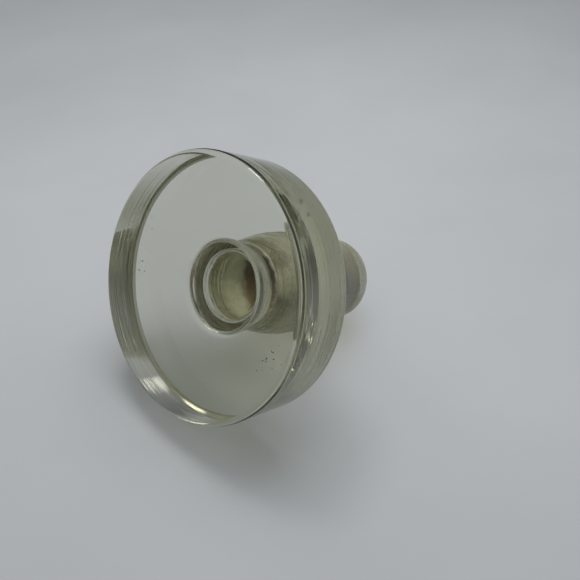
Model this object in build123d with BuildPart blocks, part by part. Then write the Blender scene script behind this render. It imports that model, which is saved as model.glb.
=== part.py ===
"""Flat-topped glass insulator: a thick pressed disc on a hollow stem, with a blind pin hole from below.

Frame: +Z up along the axis, origin at the centre of the base, where the pin enters. Millimetres.
"""
from build123d import *

import os

total_height = 90.0

# Disc at the top, flat and closed above
disc_diameter = 100.0
disc_thickness = 27.2
disc_draft = 1.3            # the side draws in by this much on its way down
top_edge_radius = 2.5
bottom_edge_radius = 1.7

# Stem: a slim neck under the disc, a slight swell, then a taper to the base
neck_diameter = 33.0
neck_fillet = 3.0
neck_height = 56.0          # above the base, where the swell starts
swell_diameter = 40.4
swell_height = 35.0
base_diameter = 35.4
base_ring_diameter = 31.6   # outer edge of the flat ring that the base stands on
base_edge_height = 4.5      # the base rounds off over this height

# Pin hole: blind, round and smooth, open at the base
bore_diameter = 28.6
bore_depth = 54.0
bore_end_fillet = 1.8
mouth_fillet = 0.8

# Old deposit left by the pin, on the hole's wall
lining_thickness = 0.6
lining_bottom = 4.0
lining_top = 51.0

disc_radius = disc_diameter / 2
disc_underside = total_height - disc_thickness
neck_radius = neck_diameter / 2
base_radius = base_diameter / 2
base_ring_radius = base_ring_diameter / 2
bore_radius = bore_diameter / 2

os.makedirs("parts", exist_ok=True)

# The glass is one pressed piece: half of its section, turned about the axis
with BuildPart() as glass_body:
    with BuildSketch(Plane.XZ):
        with BuildLine():
            disc_outline = FilletPolyline(
                (0, total_height),
                (disc_radius, total_height),
                (disc_radius - disc_draft, disc_underside),
                (neck_radius, disc_underside),
                (neck_radius, neck_height),
                radius=[top_edge_radius, bottom_edge_radius, neck_fillet],
            )
            stem_outline = Spline(
                disc_outline @ 1,
                (swell_diameter / 2, swell_height),
                (base_radius, base_edge_height),
                tangents=[(0, -1), (0, -1)],
            )
            base_edge = EllipticalCenterArc(
                center=(base_ring_radius, base_edge_height),
                x_radius=base_radius - base_ring_radius,
                y_radius=base_edge_height,
                start_angle=270,
                arc_size=90,
            )
            bore_outline = FilletPolyline(
                (base_ring_radius, 0),
                (bore_radius, 0),
                (bore_radius, bore_depth),
                (0, bore_depth),
                radius=[mouth_fillet, bore_end_fillet],
            )
            Line(bore_outline @ 1, disc_outline @ 0)
        make_face()
    revolve(axis=Axis.Z)
glass_body.part.label = "glass_body"
export_step(glass_body.part, "parts/glass_body.step")

# The deposit is a thin sleeve that keeps to the wall and leaves the rest of the hole free
with BuildPart() as bore_lining:
    with BuildSketch(Plane.XY.offset(lining_bottom)):
        Circle(bore_radius)
        Circle(bore_radius - lining_thickness, mode=Mode.SUBTRACT)
    extrude(amount=lining_top - lining_bottom)
bore_lining.part.label = "bore_lining"
export_step(bore_lining.part, "parts/bore_lining.step")
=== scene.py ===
"""Looks of the glass insulator: pressed glass with an old deposit in its pin hole, lying on its side.

Row frame: +Z along the axis, open base at z = 0, closed disc on top. Metres.
"""
import math
import random

import bmesh
import bpy
from mathutils import Matrix, Vector, noise


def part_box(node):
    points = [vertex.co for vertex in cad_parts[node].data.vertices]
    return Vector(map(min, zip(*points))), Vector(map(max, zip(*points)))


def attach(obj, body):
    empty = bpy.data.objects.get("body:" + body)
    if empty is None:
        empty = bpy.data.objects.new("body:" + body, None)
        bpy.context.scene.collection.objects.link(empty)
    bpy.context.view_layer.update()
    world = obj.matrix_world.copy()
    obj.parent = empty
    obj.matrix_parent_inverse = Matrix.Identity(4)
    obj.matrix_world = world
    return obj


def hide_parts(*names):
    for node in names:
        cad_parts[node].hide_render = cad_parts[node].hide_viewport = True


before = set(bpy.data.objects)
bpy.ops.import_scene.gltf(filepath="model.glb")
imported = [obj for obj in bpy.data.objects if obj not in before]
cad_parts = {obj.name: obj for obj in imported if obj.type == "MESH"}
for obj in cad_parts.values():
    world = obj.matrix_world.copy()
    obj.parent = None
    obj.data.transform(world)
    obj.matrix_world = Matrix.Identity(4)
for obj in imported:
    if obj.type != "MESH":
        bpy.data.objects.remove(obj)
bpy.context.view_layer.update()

MM = 0.001

# ---------------------------------------------------------------- sizes
# The height and the hole's radius come from the frame. The rest repeats the CAD's section.
_, glass_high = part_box("glass_body")
lining_low, lining_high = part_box("bore_lining")
HEIGHT = glass_high.z
DISC_R = 50.0 * MM
DISC_THICK = 27.2 * MM
DISC_DRAFT = 1.3 * MM
TOP_EDGE = 2.5 * MM
TOP_EDGE_DRAFT = 0.12 * MM           # the draft's share at the foot of the rounded top edge
BOTTOM_EDGE = 1.7 * MM
UNDERSIDE = HEIGHT - DISC_THICK
NECK_R = 16.5 * MM
NECK_FILLET = 3.0 * MM
NECK_Z = 56.0 * MM
SWELL_R = 20.2 * MM
SWELL_Z = 35.0 * MM
BASE_R = 17.7 * MM
BASE_RING_R = 15.8 * MM
BASE_EDGE = 4.5 * MM
BORE_R = lining_high.x
BORE_DEPTH = 54.0 * MM
BORE_END = 1.8 * MM
MOUTH = 0.8 * MM

# How fine the meshes are: the rows on the disc's side have to carry the moulding lines
TURN_STEPS = 336
SIDE_ROWS = 120
DEPOSIT_STEPS = 60
ON_AXIS = 1e-9

# How the pressed surface departs from a true turned one
SLOW_WAVE = 0.06 * MM
LINE_PITCH = 1.3 * MM
LINE_DEPTH = 0.038 * MM
RIPPLE_PITCH = 2.4 * MM
RIPPLE_DEPTH = 0.3 * MM
ROUND_SCALE = 0.5                    # noise scale round the axis, low so that lines and ripples run far round

HOLE_MARGIN = 0.5 * MM               # what is further than this from the hole's wall counts as outside
BACK_MARGIN = 0.1 * MM               # the disc's side counts from this far above its flat back
SIDE_MARGIN = 1.0 * MM               # and from this much nearer the axis than its foot


# ---------------------------------------------------------------- mesh helpers
def smooth_step(value, start, end):
    """0 at start and 1 at end, with a smooth change between."""
    t = min(max((value - start) / (end - start), 0.0), 1.0)
    return t * t * (3 - 2 * t)


def arc(centre, radius, start, end, steps):
    """Points of a circular (or elliptical) arc in the (r, z) half plane, angles in degrees."""
    rx, rz = radius if isinstance(radius, tuple) else (radius, radius)
    angles = [math.radians(start + (end - start) * i / steps) for i in range(steps + 1)]
    return [(centre[0] + rx * math.cos(a), centre[1] + rz * math.sin(a)) for a in angles]


def straight(start, end, steps):
    """Points from start to end, without the start."""
    return [tuple(s + (e - s) * i / steps for s, e in zip(start, end)) for i in range(1, steps + 1)]


def swell(start, end, steps):
    """Points from start to end, without the start: the radius eases in and out as the height runs evenly."""
    return [
        (
            start[0] + (end[0] - start[0]) * smooth_step(i, 0, steps),
            start[1] + (end[1] - start[1]) * i / steps,
        )
        for i in range(1, steps + 1)
    ]


def smooth_faces(bm):
    """Turns the faces of a closed mesh outwards and shades them smooth."""
    bmesh.ops.recalc_face_normals(bm, faces=bm.faces)
    for face in bm.faces:
        face.smooth = True


def make_object(name, bm):
    """An object in the scene, from a finished bmesh."""
    mesh = bpy.data.meshes.new(name)
    bm.to_mesh(mesh)
    bm.free()
    obj = bpy.data.objects.new(name, mesh)
    bpy.context.scene.collection.objects.link(obj)
    return obj


def lathe(name, outline, wobble):
    """Turns an (r, z) outline, which starts and ends on the axis, about +Z. wobble moves each point out."""
    bm = bmesh.new()
    rings = []
    for r, z in outline:
        if r < ON_AXIS:
            rings.append([bm.verts.new((0, 0, z))])
            continue
        ring = []
        for k in range(TURN_STEPS):
            a = 2 * math.pi * k / TURN_STEPS
            out = r + wobble(a, r, z)
            ring.append(bm.verts.new((out * math.cos(a), out * math.sin(a), z)))
        rings.append(ring)
    for low, high in zip(rings, rings[1:]):
        for k in range(TURN_STEPS):
            n = (k + 1) % TURN_STEPS
            if len(low) == 1:
                bm.faces.new((low[0], high[n], high[k]))
            elif len(high) == 1:
                bm.faces.new((low[k], low[n], high[0]))
            else:
                bm.faces.new((low[k], low[n], high[n], high[k]))
    smooth_faces(bm)
    return make_object(name, bm)


# ---------------------------------------------------------------- node helpers
class Graph:
    """The node tree of a material or of the world, with the kinds of node that this script builds from."""

    def __init__(self, owner):
        owner.use_nodes = True
        self.tree = owner.node_tree
        self.tree.nodes.clear()

    def node(self, kind, **settings):
        """A new node with its settings, such as operation="LENGTH"."""
        node = self.tree.nodes.new(kind)
        for name, value in settings.items():
            setattr(node, name, value)
        return node

    def feed(self, socket, value):
        """Links an output to socket, or sets socket to a number or a colour."""
        if isinstance(value, bpy.types.NodeSocket):
            self.tree.links.new(value, socket)
        else:
            socket.default_value = value

    def math(self, operation, a, b):
        node = self.node("ShaderNodeMath", operation=operation)
        self.feed(node.inputs[0], a)
        self.feed(node.inputs[1], b)
        return node.outputs[0]

    def product(self, first, *others):
        result = first
        for other in others:
            result = self.math("MULTIPLY", result, other)
        return result

    def scaled(self, vector, factors):
        node = self.node("ShaderNodeVectorMath", operation="MULTIPLY")
        self.feed(node.inputs[0], vector)
        self.feed(node.inputs[1], factors)
        return node.outputs["Vector"]

    def length(self, vector):
        node = self.node("ShaderNodeVectorMath", operation="LENGTH")
        self.feed(node.inputs[0], vector)
        return node.outputs["Value"]

    def along(self, vector, direction):
        """How far vector reaches along a fixed direction."""
        node = self.node("ShaderNodeVectorMath", operation="DOT_PRODUCT")
        self.feed(node.inputs[0], vector)
        self.feed(node.inputs[1], direction)
        return node.outputs["Value"]

    def map_range(self, value, low, high, interpolation="LINEAR"):
        """0 at low and 1 at high."""
        node = self.node("ShaderNodeMapRange", interpolation_type=interpolation)
        self.feed(node.inputs["Value"], value)
        self.feed(node.inputs["From Min"], low)
        self.feed(node.inputs["From Max"], high)
        return node.outputs[0]

    def ramp(self, source, stops):
        """A colour ramp on source; stops are (position, grey or (r, g, b))."""
        node = self.node("ShaderNodeValToRGB")
        elements = node.color_ramp.elements
        while len(elements) < len(stops):
            elements.new(0.5)
        for element, (position, _) in zip(elements, stops):
            element.position = position
        for element, (_, colour) in zip(elements, stops):
            rgb = colour if isinstance(colour, tuple) else (colour, colour, colour)
            element.color = (*rgb, 1)
        self.feed(node.inputs["Fac"], source)
        return node.outputs["Color"]

    def noise(self, vector, scale, detail=2.0, roughness=0.5):
        node = self.node("ShaderNodeTexNoise")
        self.feed(node.inputs["Vector"], vector)
        self.feed(node.inputs["Scale"], scale)
        self.feed(node.inputs["Detail"], detail)
        self.feed(node.inputs["Roughness"], roughness)
        return node.outputs["Fac"]

    def mix_colours(self, factor, a, b):
        node = self.node("ShaderNodeMix", data_type="RGBA")
        self.feed(node.inputs["Factor"], factor)
        self.feed(node.inputs["A"], a)
        self.feed(node.inputs["B"], b)
        return node.outputs["Result"]

    def mix_shaders(self, factor, a, b):
        node = self.node("ShaderNodeMixShader")
        self.feed(node.inputs["Fac"], factor)
        self.feed(node.inputs[1], a)
        self.feed(node.inputs[2], b)
        return node.outputs[0]

    def see_through(self, colour):
        node = self.node("ShaderNodeBsdfTransparent")
        self.feed(node.inputs["Color"], colour)
        return node.outputs[0]

    def bump(self, height, strength, distance):
        node = self.node("ShaderNodeBump")
        self.feed(node.inputs["Height"], height)
        self.feed(node.inputs["Strength"], strength)
        self.feed(node.inputs["Distance"], distance)
        return node.outputs["Normal"]

    def object_coordinate(self):
        return self.node("ShaderNodeTexCoord").outputs["Object"]

    def height(self, coordinate):
        """Height above the base in metres, and as a share of the whole."""
        split = self.node("ShaderNodeSeparateXYZ")
        self.feed(split.inputs[0], coordinate)
        return split.outputs["Z"], self.map_range(split.outputs["Z"], 0.0, HEIGHT)

    def surface(self, shader):
        """The material's output node, which shows shader on the surface."""
        output = self.node("ShaderNodeOutputMaterial")
        self.feed(output.inputs["Surface"], shader)
        return output


def new_material(name):
    """A material with an empty node tree, and the graph that fills it."""
    material = bpy.data.materials.new(name)
    return material, Graph(material)


def share(z):
    """A height in metres as a share of the whole, for a stop of a ramp on height."""
    return z / HEIGHT


# ---------------------------------------------------------------- glass
GLASS_IOR = 1.52
POLISHED = 0.005                     # roughness where nothing has worn the glass
CLEAN_TINT = (0.975, 0.975, 0.965, 1)
# the colour of grime, also used as painted shade on the disc's side
GRIME_AND_SHADE_TINT = (0.30, 0.30, 0.19, 1)
GRIME_AND_SHADE_HIDES = 0.70                   # how much of the transmission the worst grime and painted shade take away
BACK_EDGE_GRIME = 0.8
DEPTH_COLOUR = (0.64, 0.65, 0.40, 1)
DEPTH_DENSITY = 12.0
STEM_SHADE = (0.93, 0.93, 0.90)      # what the lamps' light keeps on its way through the stem
DISC_SHADE = (0.56, 0.56, 0.575)     # and through the disc
STREAK_STRETCH = (0.08, 0.08, 1.0)   # draws streaks out round the piece
SHADED_SIDE = (-0.75, -0.66, 0.0)     # the way that the part of the disc's side with painted shade faces
SHADE_STARTS = 0.45 * DISC_R         # how far that way the painted shade starts, and where it is full
SHADE_FULL = 0.92 * DISC_R


def outside_of_hole(graph, coordinate):
    """1 on the outside of the piece and 0 on the wall of the pin hole."""
    from_axis = graph.length(graph.scaled(coordinate, (1, 1, 0)))
    return graph.math("GREATER_THAN", from_axis, BORE_R + HOLE_MARGIN)


def side_painted_shade(graph, coordinate, level, streaks):
    """Painted shade in streaks on one part of the disc's side, which darkens the side there."""
    reach = graph.map_range(graph.along(coordinate, SHADED_SIDE), SHADE_STARTS, SHADE_FULL, "SMOOTHSTEP")
    on_side = graph.ramp(
        level,
        [
            (share(UNDERSIDE + BACK_MARGIN), 0.0),
            (share(UNDERSIDE + BOTTOM_EDGE), 1.0),
            (share(HEIGHT - TOP_EDGE * 2.0), 0.8),
            (share(HEIGHT - TOP_EDGE * 0.8), 0.0),
        ],
    )
    return graph.product(reach, on_side, graph.ramp(streaks, [(0.35, 0.6), (0.65, 1.0)]))


def glass_roughness(graph, level, streaks, outside):
    """Worn in streaks on the stem and near the back edge of the disc, and polished elsewhere."""
    worn = graph.ramp(
        level,
        [
            (0.0, 0.42),
            (share(UNDERSIDE - NECK_FILLET * 2), 0.34),
            (share(UNDERSIDE - NECK_FILLET * 0.5), 0.0),
            (share(UNDERSIDE + BACK_MARGIN), 0.0),
            (share(UNDERSIDE + BOTTOM_EDGE), 0.16),
            (share(UNDERSIDE + DISC_THICK * 0.22), 0.10),
            (share(UNDERSIDE + DISC_THICK * 0.34), 0.0),
        ],
    )
    in_streaks = graph.ramp(streaks, [(0.35, 0.35), (0.65, 1.0)])
    return graph.math("ADD", graph.product(worn, in_streaks, outside), POLISHED)


def glass_grime_and_shade(graph, coordinate, streaks, outside):
    """From 0 to 1: grime heaviest at the base, less towards the neck, and again on the back edge; grime and
    painted shade on the back of the disc's side, and painted shade on one part of it.
    """
    height, level = graph.height(coordinate)
    by_height = graph.ramp(
        level,
        [
            (0.0, 1.0),
            (0.16, 0.95),
            (0.30, 0.45),
            (0.45, 0.38),
            (0.56, 0.04),
            (share(UNDERSIDE), 0.0),
            # on the back of the disc's side: grime, made darker as painted shade
            (share(UNDERSIDE + BOTTOM_EDGE), 0.42),
            (share(UNDERSIDE + DISC_THICK * 0.30), 0.36),
            (share(UNDERSIDE + DISC_THICK * 0.55), 0.0),
        ],
    )
    in_patches = graph.ramp(graph.noise(coordinate, scale=110.0), [(0.3, 0.85), (0.7, 1.0)])
    above_back = graph.math("GREATER_THAN", height, UNDERSIDE + BACK_MARGIN / 2)
    below_side = graph.math("LESS_THAN", height, UNDERSIDE + BOTTOM_EDGE)
    back_edge = graph.product(above_back, below_side, BACK_EDGE_GRIME)
    grime_and_shade = graph.math("MAXIMUM", graph.product(by_height, in_patches, outside), back_edge)
    # adds the painted shade on one part of the disc's side
    return graph.math("MAXIMUM", grime_and_shade, side_painted_shade(graph, coordinate, level, streaks))


def glass_material():
    """Clear pressed glass with an olive cast: glossy in front, worn behind, grimy on the stem, with painted
    shade on the disc's side.
    """
    material, graph = new_material("clear_glass")
    coordinate = graph.object_coordinate()
    _, level = graph.height(coordinate)
    streaks = graph.noise(graph.scaled(coordinate, STREAK_STRETCH), scale=650.0)
    outside = outside_of_hole(graph, coordinate)
    grime_and_shade = glass_grime_and_shade(graph, coordinate, streaks, outside)
    mottle = graph.product(graph.noise(coordinate, scale=45.0, detail=3.0), 0.05)
    # the tint darkens with grime and with the painted shade on the disc's side
    tint = graph.mix_colours(graph.math("ADD", grime_and_shade, mottle), CLEAN_TINT, GRIME_AND_SHADE_TINT)
    flow = graph.noise(coordinate, scale=38.0, detail=1.0, roughness=0.4)

    shader = graph.node("ShaderNodeBsdfPrincipled")
    graph.feed(shader.inputs["IOR"], GLASS_IOR)
    graph.feed(shader.inputs["Base Color"], tint)
    graph.feed(shader.inputs["Roughness"], glass_roughness(graph, level, streaks, outside))
    hidden = graph.product(grime_and_shade, grime_and_shade, -GRIME_AND_SHADE_HIDES)
    graph.feed(shader.inputs["Transmission Weight"], graph.math("ADD", hidden, 1.0))
    graph.feed(shader.inputs["Normal"], graph.bump(flow, strength=0.10, distance=0.5 * MM))

    # The lamps shine straight through, tinted, in place of the light that real glass gathers and scatters
    shade = graph.ramp(level, [(share(UNDERSIDE - NECK_FILLET), STEM_SHADE), (share(UNDERSIDE), DISC_SHADE)])
    lamp_ray = graph.node("ShaderNodeLightPath").outputs["Is Shadow Ray"]
    output = graph.surface(graph.mix_shaders(lamp_ray, shader.outputs[0], graph.see_through(shade)))

    absorb = graph.node("ShaderNodeVolumeAbsorption")
    graph.feed(absorb.inputs["Color"], DEPTH_COLOUR)
    graph.feed(absorb.inputs["Density"], DEPTH_DENSITY)
    graph.feed(output.inputs["Volume"], absorb.outputs[0])
    return material


def glass_outline():
    """Half section of the glass: closed face, rim, flat back, neck, swell, base, then up the pin hole."""
    edge_r = DISC_R - DISC_DRAFT
    points = [(0, HEIGHT)]
    points += straight((0, HEIGHT), (DISC_R - TOP_EDGE, HEIGHT), 3)
    points += arc((DISC_R - TOP_EDGE - TOP_EDGE_DRAFT, HEIGHT - TOP_EDGE), TOP_EDGE, 90, 0, 14)[1:]
    points += straight(points[-1], (edge_r, UNDERSIDE + BOTTOM_EDGE), SIDE_ROWS)
    points += arc((edge_r - BOTTOM_EDGE, UNDERSIDE + BOTTOM_EDGE), BOTTOM_EDGE, 0, -90, 10)[1:]
    points += straight(points[-1], (NECK_R + NECK_FILLET, UNDERSIDE), 3)
    points += arc((NECK_R + NECK_FILLET, UNDERSIDE - NECK_FILLET), NECK_FILLET, 90, 180, 12)[1:]
    points += straight(points[-1], (NECK_R, NECK_Z), 3)
    points += swell((NECK_R, NECK_Z), (SWELL_R, SWELL_Z), 36)
    points += swell((SWELL_R, SWELL_Z), (BASE_R, BASE_EDGE), 44)
    points += arc((BASE_RING_R, BASE_EDGE), (BASE_R - BASE_RING_R, BASE_EDGE), 0, -90, 14)[1:]
    points += straight(points[-1], (BORE_R + MOUTH, 0), 1)
    points += arc((BORE_R + MOUTH, MOUTH), MOUTH, 270, 180, 8)[1:]
    points += straight(points[-1], (BORE_R, BORE_DEPTH - BORE_END), 8)
    points += arc((BORE_R - BORE_END, BORE_DEPTH - BORE_END), BORE_END, 0, 90, 10)[1:]
    points += straight(points[-1], (0, BORE_DEPTH), 3)
    return points


def moulding_wobble(angle, radius, z):
    """Pressed glass is never quite round: slow waves, fine lines on the disc's side, ripples on the stem."""
    x, y = math.cos(angle), math.sin(angle)
    slow = noise.noise(Vector((x * 1.6, y * 1.6, z / DISC_R * 2.0))) - 0.5
    wave = slow * SLOW_WAVE * min(radius / DISC_R, 1.0)
    if radius > DISC_R - DISC_DRAFT - SIDE_MARGIN and z > UNDERSIDE:
        lines = noise.fractal(Vector((x * ROUND_SCALE, y * ROUND_SCALE, z / LINE_PITCH)), 0.9, 2.1, 2)
        wave += (lines - 1.0) * LINE_DEPTH * smooth_step(z, HEIGHT - TOP_EDGE * 0.4, HEIGHT - TOP_EDGE * 1.6)
    if BORE_R + HOLE_MARGIN < radius and z < NECK_Z:
        ripple = noise.fractal(Vector((x * ROUND_SCALE, y * ROUND_SCALE, z / RIPPLE_PITCH)), 0.8, 2.3, 3)
        wave -= abs(ripple) * RIPPLE_DEPTH * smooth_step(z, BASE_EDGE * 3, SWELL_Z * 0.8)
    return wave


glass = lathe("glass", glass_outline(), moulding_wobble)
glass.data.materials.append(glass_material())
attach(glass, "root")
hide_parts("glass_body")


# ---------------------------------------------------------------- deposit in the pin hole
DEPOSIT_OUT = BORE_R + 0.10 * MM     # it grips the glass, so light meets it with no air between
DEPOSIT_IN = BORE_R - 0.33 * MM
DEPOSIT_BUMPS = 0.22 * MM
BUMP_PITCH = 4 * MM
DEPOSIT_THICKEST = 0.6 * MM
DEPOSIT_THINNEST = 0.05 * MM
TOP_INSET = 0.5 * MM                 # from the CAD sleeve's ends to the middle of the ragged edges
BOTTOM_INSET = 1.0 * MM
RAGGED = 2.2 * MM
SLOW_EDGE = 1.5 * MM
CRUST_TOP = 33.0 * MM                # brown crust below this height, olive film above
CRUST_WANDERS = 12 * MM
CRUST_FADE = (5 * MM, 4 * MM)         # how far below and above that height the one turns into the other
FILM_CLEAR = (0.80, 0.80, 0.66, 1)
FILM_THINNESS = 1.6
FILM_STOPS = [(40 * MM, 0.6), (45 * MM, 1.0), (49.2 * MM, 1.0), (49.8 * MM, 0.2)]   # the last is a tide line


def deposit_material():
    """Dry brown crust with rusty patches, thinning to a pale olive film towards the closed end."""
    material, graph = new_material("old_deposit")
    coordinate = graph.object_coordinate()
    height, level = graph.height(coordinate)
    blotches = graph.noise(coordinate, scale=70.0, detail=6.0, roughness=0.62)
    grain = graph.noise(coordinate, scale=900.0, detail=4.0, roughness=0.7)
    crust_colour = graph.ramp(
        blotches,
        [
            (0.30, (0.08, 0.055, 0.025)),
            (0.45, (0.14, 0.105, 0.05)),
            (0.60, (0.21, 0.165, 0.09)),
            (0.75, (0.34, 0.20, 0.08)),
        ],
    )
    film_colour = graph.ramp(blotches, [(0.35, (0.58, 0.59, 0.47)), (0.65, (0.75, 0.76, 0.63))])
    wander = graph.noise(coordinate, scale=120.0, detail=3.0, roughness=0.6)
    wander = graph.product(graph.math("SUBTRACT", wander, 0.5), CRUST_WANDERS)
    wandering = graph.math("ADD", height, wander)
    below, above = CRUST_FADE
    film = graph.map_range(wandering, CRUST_TOP - below, CRUST_TOP + above, "SMOOTHSTEP")

    shader = graph.node("ShaderNodeBsdfPrincipled")
    graph.feed(shader.inputs["Specular IOR Level"], 0.15)
    graph.feed(shader.inputs["Base Color"], graph.mix_colours(film, crust_colour, film_colour))
    graph.feed(shader.inputs["Roughness"], graph.ramp(grain, [(0.3, 0.75), (0.7, 0.98)]))
    graph.feed(shader.inputs["Normal"], graph.bump(grain, strength=0.5, distance=0.3 * MM))

    speckle = graph.ramp(grain, [(0.3, 0.45), (0.7, 0.62)])
    fade = graph.ramp(level, [(share(z), thinness) for z, thinness in FILM_STOPS])
    thin = graph.product(film, speckle, fade, FILM_THINNESS)
    graph.surface(graph.mix_shaders(thin, shader.outputs[0], graph.see_through(FILM_CLEAR)))
    return material


def deposit():
    """A crust on the wall of the hole with ragged edges and an uneven inner face."""
    bm = bmesh.new()
    outer, inner = [], []
    for k in range(TURN_STEPS):
        a = 2 * math.pi * k / TURN_STEPS
        around = Vector((math.cos(a), math.sin(a), 0))
        teeth = noise.fractal(around * 6.0, 1.0, 2.2, 4) * RAGGED
        slow = noise.noise(around * 1.3 + Vector((3, 1, 4))) * SLOW_EDGE
        top = min(lining_high.z - TOP_INSET + (teeth + slow) * 0.3, lining_high.z)
        bottom = max(lining_low.z + BOTTOM_INSET + teeth * 0.5 - slow, lining_low.z)
        column_out, column_in = [], []
        for i in range(DEPOSIT_STEPS + 1):
            z = bottom + (top - bottom) * i / DEPOSIT_STEPS
            bumpiness = noise.fractal(Vector((around.x * 4, around.y * 4, z / BUMP_PITCH)), 1.0, 2.0, 5)
            r_in = DEPOSIT_IN + bumpiness * DEPOSIT_BUMPS
            r_in = min(max(r_in, BORE_R - DEPOSIT_THICKEST), BORE_R - DEPOSIT_THINNEST)
            column_out.append(bm.verts.new((DEPOSIT_OUT * around.x, DEPOSIT_OUT * around.y, z)))
            column_in.append(bm.verts.new((r_in * around.x, r_in * around.y, z)))
        outer.append(column_out)
        inner.append(column_in)
    for k in range(TURN_STEPS):
        n = (k + 1) % TURN_STEPS
        for i in range(DEPOSIT_STEPS):
            bm.faces.new((outer[k][i], outer[n][i], outer[n][i + 1], outer[k][i + 1]))
            bm.faces.new((inner[k][i], inner[k][i + 1], inner[n][i + 1], inner[n][i]))
        for i in (0, DEPOSIT_STEPS):
            bm.faces.new((outer[k][i], inner[k][i], inner[n][i], outer[n][i]))
    smooth_faces(bm)
    return make_object("deposit", bm)


crust = deposit()
crust.visible_shadow = False         # the shade of the glass round it is enough
crust.data.materials.append(deposit_material())
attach(crust, "root")
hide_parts("bore_lining")


# ---------------------------------------------------------------- dark flecks just under the closed face
# Where the grains crowd: x, y, spread and the largest half length, in millimetres.
CLUSTERS = [(10.0, 28.0, 3.0, 0.45), (28.0, 20.0, 2.5, 0.30), (-27.0, -34.0, 4.0, 0.60)]
CLUSTER_GRAINS = 16
STRAY_FLECKS = 70
FLECK_REACH = 47.0                   # millimetres from the axis, inside the rounded edge
FLECK_HALF_THICKNESS = 0.08          # millimetres
FLECK_DEPTH = 0.25 * MM
FLECK_DENTS = 0.25


def flecks():
    """Small dark inclusions, each a flat irregular grain."""
    draw = random.Random(11)
    spots = []
    for _ in range(STRAY_FLECKS):
        away = FLECK_REACH * math.sqrt(draw.random())
        round_by = draw.uniform(0, 2 * math.pi)
        spots.append((away * math.cos(round_by), away * math.sin(round_by), draw.uniform(0.06, 0.16)))
    for x, y, spread, largest in CLUSTERS:
        for _ in range(CLUSTER_GRAINS):
            half = draw.triangular(0.08, largest, 0.10)
            spots.append((draw.gauss(x, spread), draw.gauss(y, spread), half))
    spots = [spot for spot in spots if math.hypot(spot[0], spot[1]) < FLECK_REACH]
    bm = bmesh.new()
    for x, y, half in spots:
        turn = Matrix.Rotation(draw.uniform(0, math.pi), 4, "Z")
        size = Matrix.Diagonal((half, half * draw.uniform(0.35, 0.8), FLECK_HALF_THICKNESS, 1))
        place = Matrix.Translation((x, y, (HEIGHT - FLECK_DEPTH) / MM))
        grain = bmesh.ops.create_icosphere(bm, subdivisions=2, radius=1.0, matrix=place @ turn @ size)
        for vert in grain["verts"]:
            push = FLECK_DENTS * noise.noise(vert.co * 4.0)
            vert.co.x += (vert.co.x - x) * push
            vert.co.y += (vert.co.y - y) * push
    bmesh.ops.scale(bm, vec=(MM, MM, MM), verts=bm.verts)
    return make_object("flecks", bm)


def fleck_material():
    """Dark mineral grit."""
    material, graph = new_material("grit")
    shade = graph.noise(graph.object_coordinate(), scale=2500.0)
    shader = graph.node("ShaderNodeBsdfPrincipled")
    graph.feed(
        shader.inputs["Base Color"],
        graph.ramp(shade, [(0.3, (0.03, 0.028, 0.02)), (0.7, (0.12, 0.11, 0.08))]),
    )
    graph.feed(shader.inputs["Roughness"], 0.8)
    graph.surface(shader.outputs[0])
    return material


grit = flecks()
grit.data.materials.append(fleck_material())
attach(grit, "root")


# ---------------------------------------------------------------- camera
# The camera looks at the closed face from the side, as the piece lies on its rim and its base.
LENS = 43.448                                    # millimetres, on a sensor 36 mm wide
SENSOR_WIDTH = 36.0
FACE_CENTRE = Vector((-0.6997, -0.0055, 4.994))  # from the camera, in disc radii: right, down, forward
FACE_NORMAL = Vector((-0.6247, 0.0579, -0.7787)).normalized()
PITCH = math.radians(40.4)                       # the camera looks down at the table by this much

axis_z = FACE_NORMAL
axis_y = (FACE_CENTRE - FACE_CENTRE.dot(axis_z) * axis_z).normalized()
axis_x = axis_y.cross(axis_z)
to_row = Matrix((axis_x, axis_y, axis_z))        # camera directions (right, down, forward) to the row frame

camera_data = bpy.data.cameras.new("camera")
camera_data.sensor_width = SENSOR_WIDTH
camera_data.lens = LENS
camera_data.clip_start = 0.01
camera = bpy.data.objects.new("camera", camera_data)
bpy.context.scene.collection.objects.link(camera)
camera_place = Vector((0, 0, HEIGHT)) - (to_row @ FACE_CENTRE) * DISC_R
camera_turn = to_row @ Matrix(((1, 0, 0), (0, -1, 0), (0, 0, -1)))
camera.matrix_world = Matrix.Translation(camera_place) @ camera_turn.to_4x4()
bpy.context.scene.camera = camera

# Directions in the row frame: up from the table, and right of and away from the camera along it
up = (to_row @ Vector((0, -math.cos(PITCH), -math.sin(PITCH)))).normalized()
right = to_row @ Vector((1, 0, 0))
forward = to_row @ Vector((0, 0, 1))
away = (forward - forward.dot(up) * up).normalized()


# ---------------------------------------------------------------- floor
FLOOR_HALF = 12.0


def floor_material():
    """Pale matte tabletop, seen from above only."""
    material, graph = new_material("tabletop")
    mottle = graph.noise(graph.object_coordinate(), scale=6.0, detail=5.0, roughness=0.55)
    shader = graph.node("ShaderNodeBsdfPrincipled")
    graph.feed(
        shader.inputs["Base Color"],
        graph.ramp(mottle, [(0.3, (0.47, 0.49, 0.50)), (0.7, (0.53, 0.545, 0.555))]),
    )
    graph.feed(shader.inputs["Roughness"], 0.75)
    graph.feed(shader.inputs["Specular IOR Level"], 0.2)
    underneath = graph.node("ShaderNodeNewGeometry").outputs["Backfacing"]
    graph.surface(graph.mix_shaders(underneath, shader.outputs[0], graph.see_through((1, 1, 1, 1))))
    return material


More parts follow.
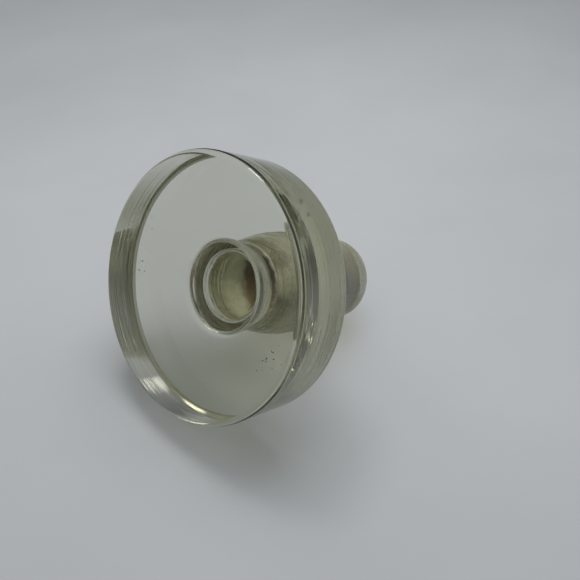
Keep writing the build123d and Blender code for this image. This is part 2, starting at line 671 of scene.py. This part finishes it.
def lay_floor(level):
    """A square table top across up, at this height along it."""
    side_u = up.cross(Vector((0, 0, 1))).normalized()
    side_v = up.cross(side_u)
    corners = [
        up * level + FLOOR_HALF * (a * side_u + b * side_v)
        for a, b in ((-1, -1), (1, -1), (1, 1), (-1, 1))
    ]
    mesh = bpy.data.meshes.new("floor")
    mesh.from_pydata([tuple(corner) for corner in corners], [], [(0, 1, 2, 3)])
    mesh.materials.append(floor_material())
    mesh.update()
    if mesh.polygons[0].normal.dot(up) < 0:
        mesh.flip_normals()
    obj = bpy.data.objects.new("floor", mesh)
    bpy.context.scene.collection.objects.link(obj)
    return obj


floor = lay_floor(min(up.dot(vertex.co) for vertex in glass.data.vertices))


# ---------------------------------------------------------------- light
# A big soft lamp, high behind the piece, so the shadow falls to the front left. In the glass it would be a
# white patch, so only the small lamp beside it shows there, as bright lines on the rim.
LAMP_DISTANCE = 0.60
LAMP_TARGET = Vector((0, 0, HEIGHT * 0.6))
WORLD_STRENGTH = 0.52


def light_world():
    """A studio that is brightest overhead and darkest at the horizon."""
    world = bpy.data.worlds.new("studio")
    bpy.context.scene.world = world
    graph = Graph(world)
    direction = graph.node("ShaderNodeTexCoord").outputs["Generated"]
    sky = graph.ramp(
        graph.map_range(graph.along(direction, tuple(up)), -1.0, 1.0),
        [
            (0.0, (0.30, 0.31, 0.32)),
            (0.5, (0.20, 0.205, 0.21)),
            (0.66, (0.22, 0.226, 0.232)),
            (0.84, (0.62, 0.635, 0.655)),
            (1.0, (1.15, 1.18, 1.22)),
        ],
    )
    background = graph.node("ShaderNodeBackground")
    graph.feed(background.inputs["Color"], sky)
    graph.feed(background.inputs["Strength"], WORLD_STRENGTH)
    output = graph.node("ShaderNodeOutputWorld")
    graph.feed(output.inputs["Surface"], background.outputs[0])


def add_lamp(name, direction, size, power, seen_in_glass):
    """A round lamp of this size and power, LAMP_DISTANCE from the piece in this direction."""
    direction = direction.normalized()
    data = bpy.data.lights.new(name, "AREA")
    data.shape = "DISK"
    data.size = size
    data.energy = power
    lamp = bpy.data.objects.new(name, data)
    bpy.context.scene.collection.objects.link(lamp)
    lamp.visible_glossy = seen_in_glass
    lamp.visible_transmission = seen_in_glass
    lamp.location = LAMP_TARGET + direction * LAMP_DISTANCE
    lamp.rotation_mode = "QUATERNION"
    lamp.rotation_quaternion = direction.to_track_quat("Z", "Y")


light_world()
add_lamp("softbox", up + right * 0.12 + away * 0.28, size=0.45, power=2.0, seen_in_glass=False)
add_lamp("rim_light", up - right * 0.17 + away * 0.33, size=0.16, power=0.55, seen_in_glass=True)

bpy.context.scene.view_settings.view_transform = "Standard"
